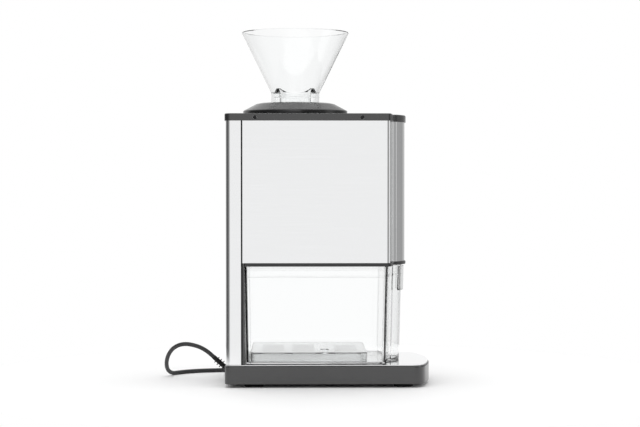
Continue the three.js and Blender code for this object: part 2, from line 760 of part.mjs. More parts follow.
// ---- Mains cord ----
// The cord arches out of the strain relief, drops to the surface, and runs behind the machine.
const CORD_ROUTE = [
  [0, 153.6, 32.3],
  [0, 162, 39.4],
  [0, 171.4, 44.8],
  [0.6, 182.2, 48.2],
  [2.6, 191.6, 49.1],
  [6.4, 200, 47.4],
  [12.5, 207.8, 42.8],
  [21, 214.2, 35.2],
  [31, 218.2, 25.6],
  [42, 219.4, 15.6],
  [53.5, 217.4, 7.6],
  [65, 212.4, 3.4],
  [76, 204.8, 2.9],
  [85.5, 195, 2.9],
  [93, 183.4, 2.9],
  [98.6, 170, 2.9],
  [102.4, 155, 2.9],
  [104.6, 139, 2.9],
  [105.6, 120, 2.9],
  [106, 105, 3.1],
  [106, 88, 3.5],
  [106, 75, 3.8],
];
const PLUG_ROUTE = [
  [106, 31, 9.2],
  [106, 23, 8.4],
  [106, 15, 7.6],
  [106, 8, 7.2],
];

function makeCord() {
  const cord = group();
  add(cord, "strain_relief", strainRelief(), rubber());
  add(cord, "cord", hose(CORD_ROUTE, CORD_RADIUS, 46), black());
  add(cord, "cord_tail", hose(PLUG_ROUTE, CORD_RADIUS, 6), black());
  const coilProfile = [
    [20.4, 1],
    [41, 1],
    [42, 2.4],
    [42, 11],
    [41, 12.4],
    [20.4, 12.4],
    [19.4, 11],
    [19.4, 2.4],
  ];
  const coil = add(cord, "cord_coil", turned(coilProfile, 28), black());
  coil.position.set(COIL_X, COIL_Y, 0);
  const tie = box(18.1, 43.1, -4, 4, 0.1, 13.3).subtract(box(18.7, 42.5, -5, 5, 0.7, 12.7));
  add(cord, "cord_tie", tie, black()).position.set(COIL_X, COIL_Y, 0);
  add(cord, "plug", plugBody(), black()).position.set(106, 8 - GAP, 0);
}

// Rings on a tapered sleeve that leaves the base at a slant.
function strainRelief() {
  const rings = 4;
  const sleeve = [
    [CORD_RADIUS + GAP, -8],
    [5, -8],
    [5, 3],
  ];
  for (let i = 0; i < rings; i++) {
    const start = 5 + i * 4.6;
    const radius = 5.4 - 0.3 * i;
    sleeve.push([3.9, start - 0.6], [radius, start], [radius, start + 2.2], [3.9, start + 2.8]);
  }
  sleeve.push([4, RELIEF_LENGTH], [CORD_RADIUS + GAP, RELIEF_LENGTH]);
  const slanted = turned(sleeve, 12).rotateX(RELIEF_TILT - Math.PI / 2).translate(0, HALF_LENGTH, CORD_EXIT_Z);
  const flange = solid(rodY(6, HALF_LENGTH + GAP, HALF_LENGTH + 2.4, 16).translate(0, 0, CORD_EXIT_Z));
  const body = joined(solid(slanted), flange);
  return body.subtract(box(-20, 20, 100, HALF_LENGTH + GAP, -20, 60));
}

// A flat two-pin plug that lies on its broad side, pins away from the cord.
function plugBody() {
  const outline = new THREE.Shape();
  outline.moveTo(-5, 0);
  outline.lineTo(-6.5, -8);
  outline.lineTo(-17, -24);
  outline.lineTo(-17.5, -35);
  outline.lineTo(17.5, -35);
  outline.lineTo(17, -24);
  outline.lineTo(6.5, -8);
  outline.lineTo(5, 0);
  const body = solid(raised(outline, 0.2, 14.2));
  const pin = (x) => solid(rodY(2, -54, -34, 12).translate(x, 0, 7.2));
  return joined(body, pin(-9.3), pin(9.3));
}

makeBase();
makeColumn();
makeHousing();
makeCollar();
makeFunnel();
makeDrawer();
makeChamber();
makeRotor();
makeGears();
makeMotor();
makeElectrics();
makeCord();

export default crusher;
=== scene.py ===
"""The looks of a countertop ice crusher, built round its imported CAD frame.

Shapes are worked out in millimetres and turned into metres as each mesh is made.
"""
import json
import math

import bmesh
import bpy
from mathutils import Matrix, Vector


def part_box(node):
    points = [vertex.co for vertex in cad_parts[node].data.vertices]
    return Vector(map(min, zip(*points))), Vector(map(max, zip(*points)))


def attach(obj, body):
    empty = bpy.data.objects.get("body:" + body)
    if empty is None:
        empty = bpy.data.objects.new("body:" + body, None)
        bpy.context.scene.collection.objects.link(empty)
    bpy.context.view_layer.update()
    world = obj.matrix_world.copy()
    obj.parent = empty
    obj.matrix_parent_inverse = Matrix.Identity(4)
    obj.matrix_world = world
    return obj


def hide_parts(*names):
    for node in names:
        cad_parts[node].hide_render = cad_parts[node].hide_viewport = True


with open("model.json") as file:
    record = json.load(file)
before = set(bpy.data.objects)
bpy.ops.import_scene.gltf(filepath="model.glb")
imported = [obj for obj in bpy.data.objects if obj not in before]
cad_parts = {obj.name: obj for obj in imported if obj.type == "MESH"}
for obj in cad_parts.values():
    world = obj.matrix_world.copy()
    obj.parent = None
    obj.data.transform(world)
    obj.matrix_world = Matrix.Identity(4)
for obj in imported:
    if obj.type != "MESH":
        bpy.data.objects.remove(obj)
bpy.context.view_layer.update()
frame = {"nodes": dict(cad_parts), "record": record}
MM = 0.001

# ---- Dimensions shared with the CAD source, in millimetres ----
HALF_WIDTH = 87.5
HALF_DEPTH = 135.5
OVERHANG = 1.5
SHEET = 1.0
GAP = 0.3
HOPPER_Y = 43.5
CORD_RADIUS = 2.8
RELIEF_TILT = math.radians(42)
CORD_EXIT = (0, HALF_DEPTH, 16)
COIL_CENTRE = (144.8, 53)
COIL_RADII = (38.8, 24.9)
COIL_LAYERS = (3.8, 9.5)
TURNS_PER_LAYER = 2.5
ROCKER_TILT = math.radians(8)
CORD_ROUTE = [
    (0, 149.2, 28.3),
    (0, 153.6, 32.3),
    (0, 162, 39.4),
    (0, 171.4, 44.8),
    (0.6, 182.2, 48.2),
    (2.6, 191.6, 49.1),
    (6.4, 200, 47.4),
    (12.5, 207.8, 42.8),
    (21, 214.2, 35.2),
    (31, 218.2, 25.6),
    (42, 219.4, 15.6),
    (53.5, 217.4, 7.6),
    (65, 212.4, 3.4),
    (76, 204.8, 2.9),
    (85.5, 195, 2.9),
    (93, 183.4, 2.9),
    (98.6, 170, 2.9),
    (102.4, 155, 2.9),
    (104.6, 139, 2.9),
    (105.6, 120, 2.9),
    (106, 105, 3.1),
    (106, 88, 3.5),
    (106, 75, 3.8),
]
PLUG_ROUTE = [
    (106, 31, 9.2),
    (106, 23, 8.4),
    (106, 15, 7.6),
    (106, 6, 7.2),
]


class Box:
    """A CAD node's box at rest, in millimetres: its limits, and its middle as x, y and z."""

    def __init__(self, node):
        low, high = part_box(node)
        self.x0, self.y0, self.z0 = (value / MM for value in low)
        self.x1, self.y1, self.z1 = (value / MM for value in high)
        self.x = (self.x0 + self.x1) / 2
        self.y = (self.y0 + self.y1) / 2
        self.z = (self.z0 + self.z1) / 2


# ---- Camera, in metres ----
CAMERA_PLACE = (-2.3515, 0.0505, 0.270)
CAMERA_LENS = 98.4
CAMERA_CLIP = (0.05, 60)
CAMERA_YAW = math.radians(0.98)
CAMERA_PITCH = math.radians(1.1)


def add_camera():
    data = bpy.data.cameras.new("camera")
    data.lens = CAMERA_LENS
    data.clip_start, data.clip_end = CAMERA_CLIP
    camera = bpy.data.objects.new("camera", data)
    bpy.context.scene.collection.objects.link(camera)
    level = math.cos(CAMERA_PITCH)
    aim = Vector((level * math.cos(CAMERA_YAW), -level * math.sin(CAMERA_YAW), -math.sin(CAMERA_PITCH)))
    camera.location = CAMERA_PLACE
    camera.rotation_euler = aim.to_track_quat("-Z", "Y").to_euler()
    bpy.context.scene.camera = camera


# ---- Outlines ----
def arc_points(centre, start, end, steps):
    """Points from start to end round centre, the short way."""
    first = start - centre
    last = end - centre
    sweep = math.atan2(first.cross(last), first.dot(last))
    points = []
    for k in range(steps + 1):
        turn = Matrix.Rotation(sweep * k / steps, 2)
        points.append(centre + turn @ first)
    return points


def rounded(corners, steps):
    """A closed outline through (x, y, radius) corners, each rounded to its radius."""
    outline = []
    for i, (x, y, radius) in enumerate(corners):
        here = Vector((x, y))
        if radius <= 0:
            outline.append(here)
            continue
        back = (Vector(corners[i - 1][:2]) - here).normalized()
        ahead = (Vector(corners[(i + 1) % len(corners)][:2]) - here).normalized()
        half = back.angle(ahead) / 2
        centre = here + (back + ahead).normalized() * (radius / math.sin(half))
        reach = radius / math.tan(half)
        outline += arc_points(centre, here + back * reach, here + ahead * reach, steps)
    return outline


def bent(a, b, c, t):
    """A coordinate at t on a quadratic curve."""
    return (1 - t) ** 2 * a + 2 * t * (1 - t) * b + t**2 * c


def quadratic(start, control, end, steps, ends=True):
    """Points on a quadratic curve; without its two ends if ends is False."""
    first = 0 if ends else 1
    points = []
    for k in range(first, steps + 1 - first):
        points.append(tuple(bent(a, b, c, k / steps) for a, b, c in zip(start, control, end)))
    return points


def shrunk(outline, distance):
    """A closed counter-clockwise outline moved inwards, square to its edges."""
    drawn_in = []
    for i, here in enumerate(outline):
        back = (here - outline[i - 1]).normalized()
        ahead = (outline[(i + 1) % len(outline)] - here).normalized()
        inward = Vector((-(back.y + ahead.y), back.x + ahead.x))
        if inward.length < 1e-9:
            inward = Vector((-back.y, back.x))
        inward.normalize()
        spread = max(0.5, inward.dot(Vector((-back.y, back.x))))
        drawn_in.append(here + inward * (distance / spread))
    return drawn_in


BASE_BOW = 8.75


def base_outline(inset):
    """The base's plan: round rear corners and a bowed front between soft corners."""
    half = HALF_WIDTH - inset
    rear = HALF_DEPTH - inset
    front = -rear
    bow_half = 70 - inset
    corner = front + BASE_BOW
    soft_corner = [(half, front + 25), (half, corner + 4.4), (bow_half, corner)]
    left_corner = [(-x, y) for x, y in soft_corner]
    bow = [(-bow_half, corner), (0, front - BASE_BOW), (bow_half, corner)]
    radius = 8 - inset / 2
    ends = [(-half, front + 25, 0), (half, front + 25, 0)]
    # The last two corners only aim the sides, because the soft corners' curves begin there.
    points = rounded([(half, rear, radius), (-half, rear, radius), *ends], 10)[:-2]
    points += [Vector(p) for p in quadratic(*left_corner, 14)]
    points += [Vector(p) for p in quadratic(*bow, 36, False)]
    points += [Vector(p) for p in quadratic(*soft_corner[::-1], 14)]
    return points


# The stepped front before its inset: the wings' depth, then half widths and depths.
WING_Y = -80.75
NOTCH = (42.5, -87.1)
BULGE = (40, -91.8)
BOW_Y = -117.6


def stepped_corners(inset, rear, rear_radius, wing_radius=4.4, hollow_radius=1.3, crest_radius=1.5):
    """The plan of the cover, housing and drawer: a wing at each side of a bowed bulge."""
    side = HALF_WIDTH - inset
    wing = WING_Y + inset
    notch = (NOTCH[0] - inset, NOTCH[1] + inset)
    bulge = (BULGE[0] - inset, BULGE[1] + inset)
    bow = quadratic((-bulge[0], bulge[1]), (0, BOW_Y + inset), bulge, 30, False)[1:-1]
    return [
        (side, rear, rear_radius),
        (-side, rear, rear_radius),
        (-side, wing, wing_radius),
        (-notch[0], notch[1], hollow_radius),
        (-bulge[0], bulge[1], crest_radius),
        *[(x, y, 0) for x, y in bow],
        (bulge[0], bulge[1], crest_radius),
        (notch[0], notch[1], hollow_radius),
        (side, wing, wing_radius),
    ]


def stepped_outline(inset):
    return rounded(stepped_corners(inset, HALF_DEPTH - inset, 8 - inset), 8)


# ---- Meshes ----
def at_height(outline, z):
    return [Vector((p.x, p.y, z)) for p in outline]


def loft(rings, wrap=False):
    """A closed mesh through rings of equal length; wrap joins the last ring to the first."""
    mesh = bmesh.new()
    rows = [[mesh.verts.new(p * MM) for p in ring] for ring in rings]
    pairs = list(zip(rows, rows[1:]))
    if wrap:
        pairs.append((rows[-1], rows[0]))
    else:
        mesh.faces.new(rows[0][::-1])
        mesh.faces.new(rows[-1])
    for low, high in pairs:
        count = len(low)
        for k in range(count):
            n = (k + 1) % count
            mesh.faces.new((low[k], low[n], high[n], high[k]))
    bmesh.ops.recalc_face_normals(mesh, faces=mesh.faces)
    return mesh


def edge_levels(low, high, radius, steps=4):
    """(inset, height) pairs that round both edges of an upright wall."""
    levels = []
    for k in range(steps + 1):
        angle = math.pi / 2 * k / steps
        levels.append((radius * (1 - math.sin(angle)), low + radius * (1 - math.cos(angle))))
    for k in range(steps, -1, -1):
        angle = math.pi / 2 * k / steps
        levels.append((radius * (1 - math.sin(angle)), high - radius * (1 - math.cos(angle))))
    return levels


def round_over(edge, top, steps=6):
    """(inset, height) pairs of a quarter round at the top of an upright wall, after its start."""
    levels = []
    for k in range(1, steps + 1):
        angle = math.pi / 2 * k / steps
        levels.append((edge * (1 - math.cos(angle)), top - edge * (1 - math.sin(angle))))
    return levels


def wall_rings(outline, levels):
    """Rings of an outline at (inset, height) levels."""
    return [at_height(shrunk(outline, inset), z) for inset, z in levels]


def slab(outline, low, high, radius, steps=4):
    """An outline raised from low to high, with both its edges rounded."""
    return loft(wall_rings(outline, edge_levels(low, high, radius, steps)))


def turned(profile, segments, centre=(0, 0)):
    """A closed profile turned about an upright axis: (radius, height) corners, a third number rounds one."""
    points = rounded([(*corner, 0) if len(corner) == 2 else corner for corner in profile], 5)
    on_axis = abs(points[0].x) < 1e-6
    rings = []
    for p in points:
        ring = []
        for k in range(segments):
            angle = 2 * math.pi * k / segments
            ring.append(Vector((centre[0] + p.x * math.cos(angle), centre[1] + p.x * math.sin(angle), p.y)))
        rings.append(ring)
    if not on_axis:
        return loft(rings, wrap=True)
    mesh = loft(rings)
    bmesh.ops.remove_doubles(mesh, verts=mesh.verts, dist=1e-7)
    bmesh.ops.dissolve_degenerate(mesh, edges=mesh.edges, dist=1e-7)
    bmesh.ops.recalc_face_normals(mesh, faces=mesh.faces)
    return mesh


def rectangle(x0, x1, y0, y1, radius):
    return [(x1, y0, radius), (x1, y1, radius), (x0, y1, radius), (x0, y0, radius)]


def block(x0, x1, y0, y1, z0, z1, radius):
    """A box with its corners rounded, and its edges by a little less, so that no arc shrinks to a point."""
    return slab(rounded(rectangle(x0, x1, y0, y1, radius), 2), z0, z1, radius * 0.98, 2)


def placed(point, angle, axis):
    """The matrix of a turn about an axis through the origin and a move to a point in millimetres."""
    return Matrix.Translation(Vector(point) * MM) @ Matrix.Rotation(angle, 4, axis)


def moved(mesh, matrix):
    bmesh.ops.transform(mesh, matrix=matrix, verts=mesh.verts)
    return mesh


def joined(*meshes):
    """Several closed meshes as one."""
    whole = bmesh.new()
    for mesh in meshes:
        part = bpy.data.meshes.new("part")
        mesh.to_mesh(part)
        mesh.free()
        whole.from_mesh(part)
        bpy.data.meshes.remove(part)
    return whole


def link_mesh(name, mesh):
    data = bpy.data.meshes.new(name)
    mesh.to_mesh(data)
    mesh.free()
    item = bpy.data.objects.new(name, data)
    bpy.context.scene.collection.objects.link(item)
    return item


def bake_modifiers(item):
    """Replaces a piece's mesh with what its modifiers make of it."""
    shown = item.evaluated_get(bpy.context.evaluated_depsgraph_get())
    data = bpy.data.meshes.new_from_object(shown)
    item.modifiers.clear()
    item.data = data


def cut(item, *cutters, operation="DIFFERENCE"):
    """Cuts closed meshes out of a piece, or joins them to it."""
    for mesh in cutters:
        tool = link_mesh("tool", mesh)
        change = item.modifiers.new("cut", "BOOLEAN")
        change.operation = operation
        change.solver = "EXACT"
        change.object = tool
        bake_modifiers(item)
        bpy.data.objects.remove(tool)


SHARP_ANGLE = math.radians(35)


def smooth(item):
    for face in item.data.polygons:
        face.use_smooth = True
    item.data.set_sharp_from_angle(angle=SHARP_ANGLE)


PIECES = []


def flatten_faces():
    """Weighs every piece's corner normals by area, so that flat faces beside small rounds shade flat."""
    for item in PIECES:
        change = item.modifiers.new("flatten", "WEIGHTED_NORMAL")
        change.keep_sharp = True
        bake_modifiers(item)


def piece(name, mesh, body, slot, replaces=(), finish=None, cutters=()):
    """A shown piece: its mesh, the body it moves with, its finish and the CAD nodes it stands for."""
    item = link_mesh(name, mesh)
    PIECES.append(item)
    cut(item, *cutters)
    smooth(item)
    item.data.materials.append(finish or FINISHES[slot])
    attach(item, body)
    if replaces:
        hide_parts(*replaces)
    return item


# ---- Materials ----
class Finish:
    """A node material round one Principled shader, with textures in the piece's own coordinates."""

    def __init__(self, name, color, roughness, **sockets):
        self.material = bpy.data.materials.new(name)
        self.material.use_nodes = True
        self.tree = self.material.node_tree
        self.shader = self.tree.nodes["Principled BSDF"]
        self.color = color
        self.set("Base Color", (*color, 1))
        self.set("Roughness", roughness)
        for key, value in sockets.items():
            self.set(key.replace("_", " "), value)
        self.place = self.add("ShaderNodeTexCoord").outputs["Object"]

    def set(self, socket, value):
        self.shader.inputs[socket].default_value = value

    def add(self, kind, **settings):
        node = self.tree.nodes.new(kind)
        for key, value in settings.items():
            setattr(node, key, value)
        return node

    def link(self, output, target):
        self.tree.links.new(output, target)

    def noise(self, scale, detail=2.0, stretch=(1, 1, 1), roughness=0.5):
        mapping = self.add("ShaderNodeMapping")
        mapping.inputs["Scale"].default_value = stretch
        self.link(self.place, mapping.inputs["Vector"])
        texture = self.add("ShaderNodeTexNoise")
        texture.inputs["Scale"].default_value = scale
        texture.inputs["Detail"].default_value = detail
        texture.inputs["Roughness"].default_value = roughness
        self.link(mapping.outputs["Vector"], texture.inputs["Vector"])
        return texture.outputs["Fac"]

    def spread(self, source, low, high, start=0.3, end=0.7):
        """A texture's middle range turned into values from low to high."""
        node = self.add("ShaderNodeMapRange")
        node.inputs["From Min"].default_value = start
        node.inputs["From Max"].default_value = end
        node.inputs["To Min"].default_value = low
        node.inputs["To Max"].default_value = high
        self.link(source, node.inputs["Value"])
        return node.outputs["Result"]

    def tint(self, source, other, start=0.3, end=0.7):
        """Varies the colour between its own and another where a texture rises."""
        mix = self.add("ShaderNodeMix", data_type="RGBA")
        mix.inputs["A"].default_value = (*self.color, 1)
        mix.inputs["B"].default_value = (*other, 1)
        self.link(self.spread(source, 0, 1, start, end), mix.inputs["Factor"])
        self.link(mix.outputs["Result"], self.shader.inputs["Base Color"])

    def rough(self, source, low, high, start=0.3, end=0.7):
        self.link(self.spread(source, low, high, start, end), self.shader.inputs["Roughness"])

    def bump(self, source, depth_mm, strength):
        node = self.add("ShaderNodeBump")
        node.inputs["Strength"].default_value = strength
        node.inputs["Distance"].default_value = depth_mm * MM
        self.link(source, node.inputs["Height"])
        self.link(node.outputs["Normal"], self.shader.inputs["Normal"])


def brushed_sheet(name, color, roughness):
    """Stainless sheet with a fine horizontal grain and faint handling marks."""
    steel = Finish(name, color, roughness, Metallic=1.0, Anisotropic=0.4, Anisotropic_Rotation=0.25)
    tangent = steel.add("ShaderNodeTangent", direction_type="RADIAL", axis="Z")
    steel.link(tangent.outputs["Tangent"], steel.shader.inputs["Tangent"])
    grain = steel.noise(1.0, 3.0, (14, 14, 2600), 0.7)
    marks = steel.noise(9.0, 4.0)
    steel.tint(grain, tuple(0.96 * c for c in color))
    steel.rough(marks, roughness - 0.02, roughness + 0.03)
    steel.bump(grain, 0.0006, 0.5)
    return steel.material


def machined_steel(name, color, roughness):
    steel = Finish(name, color, roughness, Metallic=1.0)
    lines = steel.noise(1.0, 2.0, (300, 1500, 300), 0.6)
    stains = steel.noise(60.0, 4.0)
    steel.tint(stains, tuple(0.7 * c for c in color))
    steel.rough(lines, roughness - 0.06, roughness + 0.12)
    steel.bump(lines, 0.01, 0.6)
    return steel.material


def moulded_plastic(name, color, roughness, texture_mm=0.35, depth_mm=0.006, specular=0.5):
    """Injection-moulded plastic: a fine spark-eroded texture and a slow change of gloss."""
    plastic = Finish(name, color, roughness, Specular_IOR_Level=specular)
    grain = plastic.noise(1 / (texture_mm * MM), 3.0)
    slow = plastic.noise(22.0, 3.0)
    plastic.tint(slow, tuple(1.18 * c for c in color))
    plastic.rough(slow, roughness - 0.04, roughness + 0.06)
    plastic.bump(grain, depth_mm, 0.7)
    return plastic.material


def clear_plastic(name, color, roughness, ior=1.38):
    """Polished clear plastic, with faint smears of handling."""
    clear = Finish(name, color, roughness, Transmission_Weight=1.0, IOR=ior)
    smears = clear.noise(70.0, 4.0)
    clear.rough(smears, roughness, roughness + 0.035, 0.52, 0.8)
    return clear.material


def frosted_plastic():
    """Clear plastic, slightly cloudy and a little less polished."""
    frosted = Finish("frosted_plastic", (0.93, 0.94, 0.94), 0.05, Transmission_Weight=1.0, IOR=1.49)
    cloud = frosted.noise(30.0, 3.0)
    frosted.tint(cloud, (0.96, 0.97, 0.97))
    frosted.rough(cloud, 0.03, 0.07)
    return frosted.material


def turned_brass(name, color):
    brass = Finish(name, color, 0.28, Metallic=1.0)
    rings = brass.noise(1.0, 2.0, (200, 3000, 200), 0.6)
    tarnish = brass.noise(90.0, 4.0)
    brass.tint(tarnish, tuple(0.62 * c for c in color))
    brass.rough(rings, 0.22, 0.4)
    brass.bump(rings, 0.008, 0.6)
    return brass.material


def laminated_iron():
    """Stacked laminations: thin dark lines square to the shaft."""
    iron = Finish("laminated_iron", (0.11, 0.1, 0.095), 0.5, Metallic=0.6)
    stack = iron.noise(1.0, 0.0, (1, 2000, 1))
    grain = iron.noise(900.0, 3.0)
    iron.tint(stack, (0.045, 0.04, 0.04))
    iron.rough(grain, 0.42, 0.62)
    iron.bump(stack, 0.05, 0.8)
    return iron.material


def circuit_board():
    board = Finish("circuit_board", (0.025, 0.13, 0.05), 0.35)
    weave = board.noise(1.0, 1.0, (1800, 1800, 200))
    mask = board.noise(120.0, 2.0)
    board.tint(mask, (0.035, 0.2, 0.08), 0.45, 0.55)
    board.rough(mask, 0.28, 0.42)
    board.bump(weave, 0.02, 0.5)
    return board.material


def make_finishes():
    return {
        "stainless": brushed_sheet("stainless", (0.86, 0.865, 0.87), 0.1),
        "dark_steel": machined_steel("dark_steel", (0.42, 0.43, 0.44), 0.36),
        "oxide_steel": machined_steel("oxide_steel", (0.05, 0.05, 0.052), 0.45),
        "charcoal_plastic": moulded_plastic("charcoal_plastic", (0.012, 0.012, 0.0125), 0.2, specular=1.0),
        "black_plastic": moulded_plastic("black_plastic", (0.016, 0.016, 0.017), 0.3),
        "rubber": moulded_plastic("rubber", (0.008, 0.008, 0.008), 0.62, 0.5, 0.02, 0.35),
        "clear_plastic": clear_plastic("clear_plastic", (0.985, 0.99, 0.99), 0.0),
        "clear_styrene": clear_plastic("clear_styrene", (0.985, 0.99, 0.99), 0.0, 1.57),
        "frosted_plastic": frosted_plastic(),
        "white_plastic": moulded_plastic("white_plastic", (0.7, 0.69, 0.64), 0.4),
        "brass": turned_brass("brass", (0.72, 0.5, 0.2)),
        "ferrite": laminated_iron(),
        "circuit_board": circuit_board(),
        "cord_sheath": moulded_plastic("cord_sheath", (0.022, 0.022, 0.023), 0.42, 0.6, 0.01),
    }


FINISHES = make_finishes()


# ---- Mains cord ----
def through(points):
    """Points on the centripetal Catmull-Rom curve through a route, four to each step of it."""
    steps = 4
    route = [Vector(p) for p in points]
    ends = [2 * route[0] - route[1], *route, 2 * route[-1] - route[-2]]
    curve = [route[0]]
    for before, start, end, after in zip(ends, ends[1:], ends[2:], ends[3:]):
        spans = ((before, start), (start, end), (end, after))
        d0, d1, d2 = (max(1e-6, (b - a).length) ** 0.5 for a, b in spans)
        leave = ((start - before) / d0 - (end - before) / (d0 + d1) + (end - start) / d1) * d1
        arrive = ((end - start) / d1 - (after - start) / (d1 + d2) + (after - end) / d2) * d1
        for k in range(1, steps + 1):
            t = k / steps
            curve.append(
                (2 * t**3 - 3 * t**2 + 1) * start
                + (t**3 - 2 * t**2 + t) * leave
                + (3 * t**2 - 2 * t**3) * end
                + (t**3 - t**2) * arrive
            )
    return curve


def coil_points():
    """Two layers of turns that wind in, climb, and wind out again."""
    steps_per_turn = 40
    outer, inner = COIL_RADII
    low, high = COIL_LAYERS
    climb_end = TURNS_PER_LAYER + 1
    turns = climb_end + TURNS_PER_LAYER
    points = []
    for k in range(round(turns * steps_per_turn) + 1):
        u = k / steps_per_turn
        if u <= TURNS_PER_LAYER:
            radius = outer + (inner - outer) * u / TURNS_PER_LAYER
            z = low
        elif u <= climb_end:
            f = u - TURNS_PER_LAYER
            radius = inner - 2.4 * math.sin(math.pi * f) ** 2
            z = low + (high - low) * (3 * f**2 - 2 * f**3)
        else:
            radius = inner + (outer - inner) * (u - climb_end) / TURNS_PER_LAYER
            z = high
        angle = math.pi + 2 * math.pi * u
        x = COIL_CENTRE[0] + radius * math.cos(angle)
        y = COIL_CENTRE[1] + radius * math.sin(angle)
        points.append(Vector((x, y, z)))
    return points


def add_cord():
    route = through(CORD_ROUTE) + coil_points() + through(PLUG_ROUTE)
    data = bpy.data.curves.new("mains_cord", "CURVE")
    data.dimensions = "3D"
    data.bevel_depth = CORD_RADIUS * MM
    data.bevel_resolution = 6
    data.use_fill_caps = True
    spline = data.splines.new("POLY")
    spline.points.add(len(route) - 1)
    for target, point in zip(spline.points, route):
        target.co = (*(point * MM), 1)
    spline.use_smooth = True
    cord = bpy.data.objects.new("mains_cord", data)
    bpy.context.scene.collection.objects.link(cord)
    data.materials.append(FINISHES["cord_sheath"])
    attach(cord, "machine")
    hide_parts("cord", "cord_tail", "cord_coil")
    return cord


def add_strain_relief():
    """A sleeve with four fins, tilted up, on a round flange against the base."""
    fins = 4
    core = 3.05
    sleeve = [(CORD_RADIUS + 0.1, -1.5, 0), (4.2, -1.5, 0), (4.0, 1.6, 0.3), (core, 2.6, 0.3)]
    for i in range(fins):
        middle = 5.2 + i * 4.3
        radius = 5.9 - 0.3 * i
        sleeve += [(core, middle - 0.7, 0.2), (radius, middle - 0.5, 0.4)]
        sleeve += [(radius, middle + 0.5, 0.4), (core, middle + 0.7, 0.2)]
    sleeve += [(3.0, 24, 0.1), (CORD_RADIUS + 0.1, 24, 0)]
    body = moved(turned(sleeve, 40), placed(CORD_EXIT, RELIEF_TILT - math.pi / 2, "X"))
    disc = turned([(0, 0.3), (6, 0.3), (6, 2.4, 0.8), (0, 2.4)], 48)
    flange = moved(disc, placed(CORD_EXIT, -math.pi / 2, "X"))
    item = piece("strain_relief_sleeve", body, "machine", "rubber", ("strain_relief",))
    cut(item, flange, operation="UNION")
    trim = block(-30, 30, 100, CORD_EXIT[1] + GAP, -20, 60, 0.1)
    cut(item, trim)
    smooth(item)
    return item


def add_cord_tie():
    """A flat strap round the coil, with its small head on top."""
    box = Box("cord_tie")
    outer = rounded(rectangle(box.x0, box.x1, box.z0, box.z1 - 1, 3), 8)
    inner = shrunk(outer, 0.7)
    width = 2.6
    rings = []
    for outline, y in ((outer, -width), (outer, width), (inner, width), (inner, -width)):
        rings.append([Vector((p.x, box.y + y, p.y)) for p in outline])
    strap = loft(rings, wrap=True)
    head_x = box.x0 + 8
    head = block(head_x - 3, head_x + 3, box.y0, box.y1, box.z1 - 3.2, box.z1, 0.5)
    tail = block(head_x + 2, head_x + 13, box.y - 2.4, box.y + 2.4, box.z1 - 1.1, box.z1 - 0.3, 0.3)
    return piece("coil_tie", joined(strap, head, tail), "machine", "rubber", ("cord_tie",))


def add_plug():
    """A flat two-pin plug on its broad side, with sleeved pins."""
    box = Box("plug")
    middle = box.x
    body_end = box.y1 - 35
    corners = [
        (middle + 5, box.y1, 3.4),
        (middle - 5, box.y1, 3.4),
        (middle - 6.5, box.y1 - 8, 6),
        (middle - 17, box.y1 - 24, 8),
        (middle - 17.5, body_end, 3.6),
        (middle + 17.5, body_end, 3.6),
        (middle + 17, box.y1 - 24, 8),
        (middle + 6.5, box.y1 - 8, 6),
    ]
    shape = slab(rounded(corners, 8), box.z0, box.z1, 3.2, 6)
    body = piece("plug_body", shape, "machine", "black_plastic", ("plug",))
    grips = []
    for k in range(5):
        y = box.y1 - 15 - 3 * k
        for z0, z1 in ((box.z0 - 1, box.z0 + 0.45), (box.z1 - 0.45, box.z1 + 1)):
            grips.append(block(middle - 8, middle + 8, y - 0.6, y + 0.6, z0, z1, 0.2))
    cut(body, joined(*grips))
    smooth(body)
    parts = [body]
    for side, x in (("left", middle - 9.3), ("right", middle + 9.3)):
        stand = placed((x, body_end, box.z), math.pi / 2, "X")
        sleeve = moved(turned([(0, -1), (1.9, -1), (1.9, 10, 0.2), (0, 10)], 32), stand)
        tip = moved(turned([(0, 9), (2, 9), (2, 19, 1.9), (0, 19)], 32), stand)
        parts.append(piece(f"plug_pin_sleeve_{side}", sleeve, "machine", "black_plastic"))
        parts.append(piece(f"plug_pin_{side}", tip, "machine", "brass"))
    return parts


def add_cord_pieces():
    cord = add_cord()
    relief = add_strain_relief()
    tie = add_cord_tie()
    plug = add_plug()


# ---- Base ----
FOOT_PROFILE = [
    (0, 0),
    (7, 0),
    (7.6, 0.7),
    (8.8, 0.7),
    (9.4, 0),
    (12, 0, 0.5),
    (12.5, 1.0, 0.6),
    (12.2, 1.9, 0.5),
    (9.7, 4.2, 0.4),
    (9.5, 4.8),
    (0, 4.8),
]


def lead_bore():
    """A bar through the base's top, where the lead goes up into the column."""
    return turned([(0, 20), (5, 20), (5, 40), (0, 40)], 32, (0, 122))


